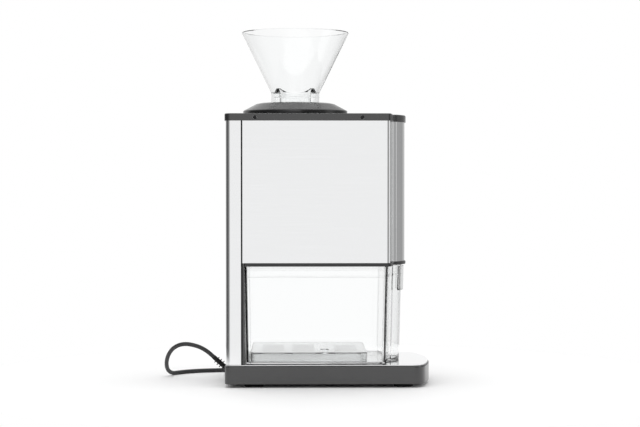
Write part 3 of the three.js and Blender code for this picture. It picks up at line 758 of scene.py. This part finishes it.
def add_base():
    tub = Box("base_tub")
    outer = base_outline(0)
    inner = base_outline(3)
    edge = 1.8
    rise = [(0.6, tub.z0), (0.15, tub.z0 + 0.15), (0, tub.z0 + 0.6), (0, tub.z1 - edge)]
    rise += round_over(edge, tub.z1)
    rings = [at_height(inner, tub.z1 - 3), at_height(inner, tub.z0)] + wall_rings(outer, rise)
    exit_bar = turned([(0, -6), (3.6, -6), (3.6, 6), (0, 6)], 32)
    cutters = (lead_bore(), moved(exit_bar, placed(CORD_EXIT, -math.pi / 2, "X")))
    piece("base_shell", loft(rings), "machine", "charcoal_plastic", ("base_tub",), cutters=cutters)
    box = Box("base_top_plate")
    plate = slab(base_outline(OVERHANG), box.z0, box.z1, 0.3)
    cutters = (lead_bore(),)
    piece("base_steel_plate", plate, "machine", "stainless", ("base_top_plate",), cutters=cutters)
    box = Box("bottom_cover")
    cover = slab(base_outline(3 + GAP), box.z0, box.z1, 0.4)
    piece("base_underside", cover, "machine", "black_plastic", ("bottom_cover",))
    for end in ("front", "rear"):
        for side in ("left", "right"):
            node = f"foot_{end}_{side}"
            box = Box(node)
            foot = turned(FOOT_PROFILE, 64, (box.x, box.y))
            piece(f"rubber_{node}", foot, "machine", "rubber", (node,))


# ---- Column, housing and cover ----
def sheet_outline(path):
    """An open path given the sheet's thickness to its left, with its two ends rounded."""
    end_radius = 0.4
    left = []
    for i, here in enumerate(path):
        back = (here - path[i - 1]).normalized() if i else (path[1] - here).normalized()
        ahead = (path[i + 1] - here).normalized() if i < len(path) - 1 else back
        inward = Vector((-(back.y + ahead.y), back.x + ahead.x)).normalized()
        spread = max(0.5, inward.dot(Vector((-back.y, back.x))))
        left.append(here + inward * (SHEET / spread))
    corners = [(p.x, p.y, 0) for p in path] + [(p.x, p.y, 0) for p in left[::-1]]
    count = len(path)
    for k in (0, count - 1, count, 2 * count - 1):
        corners[k] = (corners[k][0], corners[k][1], end_radius)
    return rounded(corners, 4)


def add_column():
    box = Box("rear_column")
    full = rounded([(box.x1, 60, 0), (box.x1, box.y1, 6.5), (box.x0, box.y1, 6.5), (box.x0, 60, 0)], 14)
    path = [Vector((box.x1, box.y0)), *full[1:-1], Vector((box.x0, box.y0))]
    shell = slab(sheet_outline(path), box.z0, box.z1, 0.2, 2)
    piece("column_shell", shell, "machine", "stainless", ("rear_column",))
    add_bay_panel()


def add_bay_panel():
    """The panel behind the drawer. Past its front edge its sides taper in."""
    box = Box("back_panel")
    taper_y = box.y0 + 2.6
    taper = 2.2
    plan = [
        (box.x1, box.y0, 0.7),
        (box.x1, taper_y, 0.4),
        (box.x1 - taper, box.y1, 0.2),
        (box.x0 + taper, box.y1, 0.2),
        (box.x0, taper_y, 0.4),
        (box.x0, box.y0, 0.7),
    ]
    panel = slab(rounded(plan, 4), box.z0, box.z1, 0.3, 2)
    piece("bay_back_panel", panel, "machine", "charcoal_plastic", ("back_panel",))


def add_housing():
    box = Box("housing_wrap")
    outline = rounded(stepped_corners(OVERHANG, 150, 5), 8)
    outline = [p for p in outline if p.y < box.y1 - 0.5]
    path = [Vector((box.x0, box.y1)), *outline, Vector((box.x1, box.y1))]
    wrap = slab(sheet_outline(path), box.z0, box.z1, 0.2, 2)
    switch = Box("switch_bezel")
    hole = block(80, 90, switch.y - 9.3, switch.y + 9.3, switch.z - 13.3, switch.z + 13.3, 0.4)
    piece("housing_shell", wrap, "machine", "stainless", ("housing_wrap",), cutters=(hole,))
    floor = Box("housing_floor")
    plan = [p for p in rounded(stepped_corners(0, 150, 5), 8) if p.y < floor.y1 - 0.5]
    plan = [Vector((floor.x1, floor.y1)), Vector((floor.x0, floor.y1)), *plan]
    plate = slab(plan, floor.z0, floor.z1, 0.8)
    cutters = (block(-36, 36, HOPPER_Y - 32, HOPPER_Y + 32, floor.z0 - 5, floor.z1 + 5, 0.5),)
    piece("housing_floor_plate", plate, "machine", "black_plastic", ("housing_floor",), cutters=cutters)


def bar_across(radius, y, z):
    """A round bar along X, right through the cover's two sides."""
    bar = turned([(0, -95), (radius, -95), (radius, 95), (0, 95)], 40)
    return moved(bar, placed((0, y, z), math.pi / 2, "Y"))


NECK_BORE = 33.2
SCREW_HOLE = 2.6


def add_cover():
    box = Box("top_cover")
    outer = stepped_outline(0)
    inner = stepped_outline(OVERHANG - GAP)
    edge = 1.7
    levels = [(0.35, box.z0), (0.1, box.z0 + 0.1), (0, box.z0 + 0.35), (0, box.z1 - edge)]
    levels += round_over(edge, box.z1)
    rings = [at_height(inner, box.z1 - 3), at_height(inner, box.z0 + 0.2)] + wall_rings(outer, levels)
    low, high = box.z0 - 5, box.z1 + 5
    bore = turned([(0, low), (NECK_BORE, low), (NECK_BORE, high), (0, high)], 96, (0, HOPPER_Y))
    screws = (Box("cover_screw_rear_left"), Box("cover_screw_front_left"))
    holes = [bar_across(SCREW_HOLE, screw.y, screw.z) for screw in screws]
    piece("cover_shell", loft(rings), "machine", "charcoal_plastic", ("top_cover",), cutters=(bore, *holes))
    for end in ("rear", "front"):
        for side in ("left", "right"):
            add_screw(f"cover_screw_{end}_{side}")


def add_screw(node):
    """A pan-head screw with a cross recess, its head in the cover's skirt."""
    box = Box(node)
    sign = 1 if box.x1 > 0 else -1
    head = turned([(0, 0), (2.5, 0, 0.5), (2.5, 1.1), (1.2, 1.1), (1.2, 7, 0.4), (0, 7)], 40)
    outer_x = box.x1 if sign > 0 else box.x0
    stand = placed((outer_x, box.y, box.z), -sign * math.pi / 2, "Y")
    cutters = []
    for half_x, half_y in ((1.5, 0.35), (0.35, 1.5)):
        arm = block(-half_x, half_x, -half_y, half_y, -1, 0.75, 0.1)
        cutters.append(moved(arm, stand))
    name = node.replace("cover_screw", "cross_head_screw")
    piece(name, moved(head, stand), "machine", "dark_steel", (node,), FINISHES["oxide_steel"], cutters)


# ---- Collar and funnel ----
def add_collar():
    box = Box("hopper_collar")
    low, high = box.z0, box.z1
    profile = [
        (NECK_BORE, low, 0.2),
        (NECK_BORE, high - 1.2, 0.5),
        (35, high, 0.8),
        (46, high, 3),
        (52.5, high - 1.3, 5),
        (69.4, low + 6, 0.8),
        (70, low + 5, 0.3),
        (69.3, low, 0.4),
        (67, low, 0.3),
        (67, low + 4.2, 0.5),
        (51.2, high - 3.8, 1),
        (36.2, high - 3.2, 1),
        (36.2, low, 0.2),
    ]
    ring = turned(profile, 160, (0, HOPPER_Y))
    piece("collar_ring", ring, "machine", "charcoal_plastic", ("hopper_collar",))


NECK_RADIUS = 32.2
FUNNEL_WALL = 2.3


def add_funnel():
    box = Box("hopper")
    bend = 387.4
    rim = (box.x1 - box.x0) / 2
    inner = NECK_RADIUS - FUNNEL_WALL
    profile = [
        (inner, box.z0, 0.6),
        (NECK_RADIUS, box.z0, 0.6),
        (NECK_RADIUS, bend - 1, 0.6),
        (NECK_RADIUS + 0.7, bend, 0.5),
        (rim, box.z1 - 1.2, 0.4),
        (rim - 0.5, box.z1, 0.3),
        (rim - 1.9, box.z1, 0.5),
        (rim - 2.5, box.z1 - 1.2, 0.5),
        (inner + 0.5, bend + 1, 0.6),
        (inner, bend, 0.5),
    ]
    piece("funnel_cone", turned(profile, 180, (0, HOPPER_Y)), "funnel", "clear_plastic", ("hopper",))
    add_throat_guard()


def tapered(half_low, half_high, z0, z1, radius):
    """A square bar that widens upwards, its four upright edges rounded."""
    rings = []
    for half, z in ((half_low, z0), (half_high, z1)):
        plan = rounded(rectangle(-half, half, -half, half, radius), 6)
        rings.append([Vector((p.x, p.y + HOPPER_Y, z)) for p in plan])
    return loft(rings)


def add_throat_guard():
    """A square chute in the neck, held by a web whose rim dips between the chute's corners."""
    box = Box("throat_guard")
    wall = 1.8
    low, bend, high = box.z0, 386, box.z1
    foot, waist, top, hole_top = 19.4, 20.4, 22.2, 22.4
    web_low = 380.5
    web_radius = NECK_RADIUS - FUNNEL_WALL - 0.5
    saddle = 385.2
    dip_radius = 31.7
    overlap = 0.01
    profile = [
        (0, web_low),
        (web_radius, web_low, 0.5),
        (web_radius, 387.2, 0.4),
        (web_radius + 2.2, high, 0.5),
        (0, high),
    ]
    chute = tapered(foot, waist, low, bend, 2.0)
    flare = tapered(waist, top, bend - overlap, high, 2.0)
    lower_hole = tapered(foot - wall, waist - wall, low - 1, bend, 1.2)
    upper_hole = tapered(waist - wall, hole_top - wall, bend - overlap, high + 1, 1.2)
    dips = []
    for axis in ("X", "Y"):
        bar = turned([(0, -60), (dip_radius, -60), (dip_radius, 60), (0, 60)], 160)
        dips.append(moved(bar, placed((0, HOPPER_Y, saddle + dip_radius), math.pi / 2, axis)))
    web = turned(profile, 144, (0, HOPPER_Y))
    item = piece("throat_chute", web, "funnel", "clear_plastic", ("throat_guard",))
    cut(item, chute, flare, operation="UNION")
    cut(item, lower_hole, upper_hole, *dips)
    item.data.shade_flat()


# ---- Drawer ----
BIN_INSET = 5.5
BIN_WALL = 2.2
BIN_FLOOR = 1.8
RIB = (143.2, 145)
RIB_REACH = 0.5
RIB_START = -40
GRIP = (123, 155.6)
GRIP_HALF = 24
DRAFT_SIDES = 0.049
DRAFT_ENDS = 0.0258
DRAFT_REARWARD = 0.71


def drafted(p, z, low, high):
    """A point of the drawer's plan, drawn in towards the floor as a moulded wall is."""
    drop = (high - z) / (high - low)
    x = p.x * (1 - DRAFT_SIDES * drop)
    y = p.y * (1 - DRAFT_ENDS * drop) + DRAFT_REARWARD * drop
    return Vector((x, y, z))


def bow_y(x, inset):
    """The bowed front's edge at x, for an outline drawn in by inset."""
    reach = BULGE[0] - inset
    t = (x / reach + 1) / 2
    return (BULGE[1] + inset) * ((1 - t) ** 2 + t**2) + (BOW_Y + inset) * 2 * t * (1 - t)


def grip_outline():
    """The thickened middle of the drawer's front, from just inside its wall."""
    count = 16
    places = [GRIP_HALF * (2 * k / count - 1) for k in range(count + 1)]
    front = [(x, bow_y(x, BIN_INSET - 3), 0) for x in places]
    back = [(x, bow_y(x, BIN_INSET + 1), 0) for x in places[::-1]]
    front[0] = (*front[0][:2], 0.8)
    front[-1] = (*front[-1][:2], 0.8)
    return rounded(front + back, 5)


def add_bin():
    box = Box("bin")
    low, high = box.z0, box.z1
    outer = rounded(stepped_corners(BIN_INSET, box.y1, 3), 8)
    inner = rounded(stepped_corners(BIN_INSET + BIN_WALL, box.y1 - BIN_WALL, 1.02, 2.2, 2.2, 0.5), 8)

    def ring(outline, z, out=0.0):
        grown = shrunk(outline, -out) if out else outline
        return [drafted(p, z, low, high) for p in grown]

    def ribbed(z):
        """The outline with its front stood out by the rib."""
        pairs = zip(ring(outer, z), ring(outer, z, RIB_REACH))
        return [far if near.y < RIB_START else near for near, far in pairs]

    rings = [ring(outer, low, -1.3), ring(outer, low + 0.12, -0.7), ring(outer, low + 0.5, -0.25)]
    rings += [ring(outer, low + 1.2), ring(outer, 60), ring(outer, 90), ring(outer, 120)]
    rings += [ring(outer, RIB[0] - 0.05), ribbed(RIB[0] + 0.1)]
    rings += [ribbed(RIB[1] - 0.1), ring(outer, RIB[1] + 0.05)]
    rings += [ring(outer, high - 0.5), ring(outer, high - 0.1, -0.2), ring(outer, high, -0.5)]
    rings += [ring(inner, high, 0.5), ring(inner, high - 0.1, 0.2), ring(inner, high - 0.5)]
    rings += [ring(inner, 90), ring(inner, low + BIN_FLOOR + 2.2), ring(inner, low + BIN_FLOOR + 0.9, -0.2)]
    rings += [ring(inner, low + BIN_FLOOR + 0.3, -0.8), ring(inner, low + BIN_FLOOR, -1.8)]
    item = piece("drawer_bin", loft(rings), "drawer", "clear_plastic", ("bin",), FINISHES["clear_styrene"])
    outline = grip_outline()
    levels = edge_levels(*GRIP, 0.7)
    grip = loft([[drafted(p, z, low, high) for p in shrunk(outline, inset)] for inset, z in levels])
    cut(item, grip, operation="UNION")
    smooth(item)


def add_drainer():
    """A slotted deck on a skirt, with a finger hole to lift it by."""
    box = Box("drainer_tray")
    wall = 1.8
    deck_low = box.z1 - wall

    def plan(inset):
        front, rear = 12 - inset, 6 - inset
        corners = [
            (box.x1 - inset, box.y0 + inset, front),
            (box.x1 - inset, box.y1 - inset, rear),
            (box.x0 + inset, box.y1 - inset, rear),
            (box.x0 + inset, box.y0 + inset, front),
        ]
        return rounded(corners, 10)

    def opening(x0, x1, y0, y1):
        radius = 0.49 * min(x1 - x0, y1 - y0)
        outline = rounded(rectangle(x0, x1, y0, y1, radius), 8)
        return loft([at_height(outline, deck_low - 3), at_height(outline, box.z1 + 1)])

    outer, inner = plan(0), plan(wall)
    edge = 1.0
    rise = [(0.4, box.z0), (0.1, box.z0 + 0.1), (0, box.z0 + 0.4), (0, box.z1 - edge)]
    rise += round_over(edge, box.z1, 5)
    rings = [at_height(shrunk(inner, 0.6), deck_low)]
    rings += [at_height(inner, z) for z in (deck_low - 0.6, box.z0)]
    rings += wall_rings(outer, rise)
    holes = [opening(-60, -20, -0.6, 10.4)]
    for y in (-38, 18, 58):
        for column in range(8):
            x = -52.5 + column * 15
            holes.append(opening(x - 1.2, x + 1.2, y, y + 30))
    cutters = (joined(*holes),)
    piece("drainer_deck", loft(rings), "drainer", "frosted_plastic", ("drainer_tray",), cutters=cutters)


# ---- Switch ----
def add_switch():
    box = Box("switch_bezel")
    stand = placed((0, box.y, box.z), math.pi / 2, "Y")

    def frame_slab(half_y, half_z, x0, x1, corner, edge):
        plan = rounded(rectangle(-half_z, half_z, -half_y, half_y, corner), 6)
        return moved(slab(plan, x0, x1, edge), stand)

    face = HALF_WIDTH - OVERHANG + GAP
    rim = frame_slab(11, 15, face, box.x1, 2.2, 0.45)
    item = piece("switch_frame", rim, "machine", "black_plastic", ("switch_bezel",))
    cut(item, frame_slab(9, 13, box.x0, face + 0.2, 0.8, 0.3), operation="UNION")
    cut(item, frame_slab(7, 11, 78, 95, 0.5, 0.3))
    smooth(item)
    add_rocker(box.y, box.z)


ROCKER_X = 82.4
ROCKER_END = (3.4, 10.3)
ROCKER_HOLLOW = 2.2


def add_rocker(y, z):
    """A rocker with a hollowed face, and a bar and a ring moulded into its two ends."""
    out, half = ROCKER_END
    hollow = quadratic((out, -half), (ROCKER_HOLLOW, 0), (out, half), 14, False)[1:-1]
    outline = [(-3, -5, 0.3), (out, -half, 0.5)]
    outline += [(*p, 0) for p in hollow]
    outline += [(out, half, 0.5), (-3, 5, 0.3)]
    lie = Matrix.Rotation(math.pi / 2, 4, "X")
    tilt = placed((ROCKER_X, y, z), ROCKER_TILT, "Y")
    body = moved(slab(rounded(outline, 4), -6.6, 6.6, 0.35, 3), tilt @ lie)
    piece("rocker_cap", body, "rocker", "black_plastic", ("switch_rocker",))
    bar = block(-2.0, 2.0, -0.3, 0.3, 0, 0.2, 0.08)
    ring = turned([(1.3, 0), (1.8, 0), (1.8, 0.2), (1.3, 0.2)], 40)
    face_out = Matrix.Rotation(math.pi / 2, 4, "Y")
    marks = []
    for mark, up in ((bar, 6), (ring, -6)):
        lift = Matrix.Translation(Vector((2.98, 0, up)) * MM)
        marks.append(moved(mark, tilt @ lift @ face_out))
    piece("rocker_marks", joined(*marks), "rocker", "white_plastic")


# ---- What stays as the CAD made it ----
def finish_cad_nodes():
    """Gives every CAD node that still shows the material of its slot in the record."""
    for row in frame["record"]["subparts"]:
        item = frame["nodes"].get(row["node"])
        if item is None or row["material_slot"] not in FINISHES:
            continue
        for slot in item.material_slots:
            slot.material = FINISHES[row["material_slot"]]


# ---- Studio ----
# (degrees round the object from +X, level). The ends meet at -X, behind the camera.
WORLD_BANDS = [
    (-180, 1.0), (-171, 1.0), (-164, 0.25), (-140, 0.25), (-128, 0.42), (-117, 0.4), (-110, 0.42),
    (-106, 1.3), (-90, 1.2), (-80, 0.4), (-40, 0.36), (-30, 0.55), (-12, 0.6), (-7, 0.95), (-4, 1.0),
    (4, 1.0), (8, 0.95), (18, 0.7), (52, 0.6), (64, 0.13), (110, 0.1), (132, 0.2), (152, 0.55),
    (168, 1.0), (180, 1.0),
]
OVERHEAD = 0.95
OVERHEAD_FADE = (0.35, 0.75)  # the upward part of a direction, where the bands start and end fading
BACKGROUND = 1.0
DIFFUSE_LIGHT = 1.06
REFRACTED_WHITE = 0.6  # how far what is seen through clear plastic is mixed to the background
FLOOR_RADIUS = 0.5


def grey(level):
    return (level, level, level, 1)


def feed(tree, node, sources):
    """Gives a node's inputs in turn: a number or colour, or the output of another node."""
    for socket, source in zip(node.inputs, sources):
        if isinstance(source, bpy.types.NodeSocket):
            tree.links.new(source, socket)
        else:
            socket.default_value = source
    return node.outputs[0]


def worked_out(tree, operation, *sources):
    node = tree.nodes.new("ShaderNodeMath")
    node.operation = operation
    return feed(tree, node, sources)


def mixed(tree, share, first, second):
    return feed(tree, tree.nodes.new("ShaderNodeMixRGB"), (share, first, second))


def banded(tree, share):
    """The level of WORLD_BANDS at a share of the way round."""
    ramp = tree.nodes.new("ShaderNodeValToRGB")
    stops = ramp.color_ramp.elements
    while len(stops) > 1:
        stops.remove(stops[-1])
    for i, (degrees, level) in enumerate(WORLD_BANDS):
        place = degrees / 360 + 0.5
        stop = stops[0] if i == 0 else stops.new(place)
        stop.position = place
        stop.color = grey(level)
    return feed(tree, ramp, (share,))


def surroundings(tree):
    """The bands round the object, fading to an even pale grey overhead."""
    parts = tree.nodes.new("ShaderNodeSeparateXYZ")
    direction = tree.nodes.new("ShaderNodeTexCoord").outputs["Generated"]
    feed(tree, parts, (direction,))
    angle = worked_out(tree, "ARCTAN2", parts.outputs["Y"], parts.outputs["X"])
    share = worked_out(tree, "MULTIPLY_ADD", angle, 1 / (2 * math.pi), 0.5)
    height = tree.nodes.new("ShaderNodeMapRange")
    height.interpolation_type = "SMOOTHSTEP"
    fade = feed(tree, height, (parts.outputs["Z"], *OVERHEAD_FADE))
    return mixed(tree, fade, banded(tree, share), grey(OVERHEAD))


def add_world():
    """White to the camera and an even white to matt surfaces. Reflections show the bands, and clear
    plastic shows them paler where it refracts the surroundings."""
    world = bpy.data.worlds.new("studio")
    bpy.context.scene.world = world
    world.use_nodes = True
    tree = world.node_tree
    rays = tree.nodes.new("ShaderNodeLightPath").outputs
    glossy, through_clear = rays["Is Glossy Ray"], rays["Is Transmission Ray"]
    white = grey(BACKGROUND)
    paler = worked_out(tree, "MULTIPLY", through_clear, REFRACTED_WHITE)
    refracted = mixed(tree, paler, surroundings(tree), white)
    seen = mixed(tree, worked_out(tree, "MAXIMUM", glossy, through_clear), grey(DIFFUSE_LIGHT), refracted)
    final = mixed(tree, rays["Is Camera Ray"], seen, white)
    tree.links.new(final, tree.nodes["Background"].inputs["Color"])


def add_light(name, place, aim, width, height, watts):
    data = bpy.data.lights.new(name, "AREA")
    data.shape = "RECTANGLE"
    data.size = width
    data.size_y = height
    data.energy = watts
    item = bpy.data.objects.new(name, data)
    item.location = place
    item.rotation_euler = (Vector(aim) - Vector(place)).to_track_quat("-Z", "Y").to_euler()
    item.visible_camera = False
    item.visible_glossy = False
    bpy.context.scene.collection.objects.link(item)


def add_floor():
    mesh = bmesh.new()
    bmesh.ops.create_circle(mesh, cap_ends=True, segments=96, radius=FLOOR_RADIUS)
    floor = link_mesh("floor", mesh)
    pale = Finish("floor_pale", (0.93, 0.93, 0.93), 0.7, Specular_IOR_Level=0.2)
    pale.tint(pale.noise(3.0), (0.94, 0.94, 0.94))
    floor.data.materials.append(pale.material)


def add_studio():
    add_world()
    add_floor()
    target = (0, 0, 0.25)
    add_light("overhead", (-0.25, 0.05, 1.9), target, 1.4, 1.4, 4)
    add_light("left_softbox", (-1.5, 1.25, 0.75), target, 0.35, 1.3, 2)
    add_light("right_softbox", (-0.24, -1.95, 0.75), target, 0.35, 1.3, 4)
    bpy.context.scene.view_settings.view_transform = "Standard"


add_camera()
add_cord_pieces()
add_base()
add_column()
add_housing()
add_cover()
add_collar()
add_funnel()
add_bin()
add_drainer()
add_switch()
flatten_faces()
finish_cad_nodes()
add_studio()
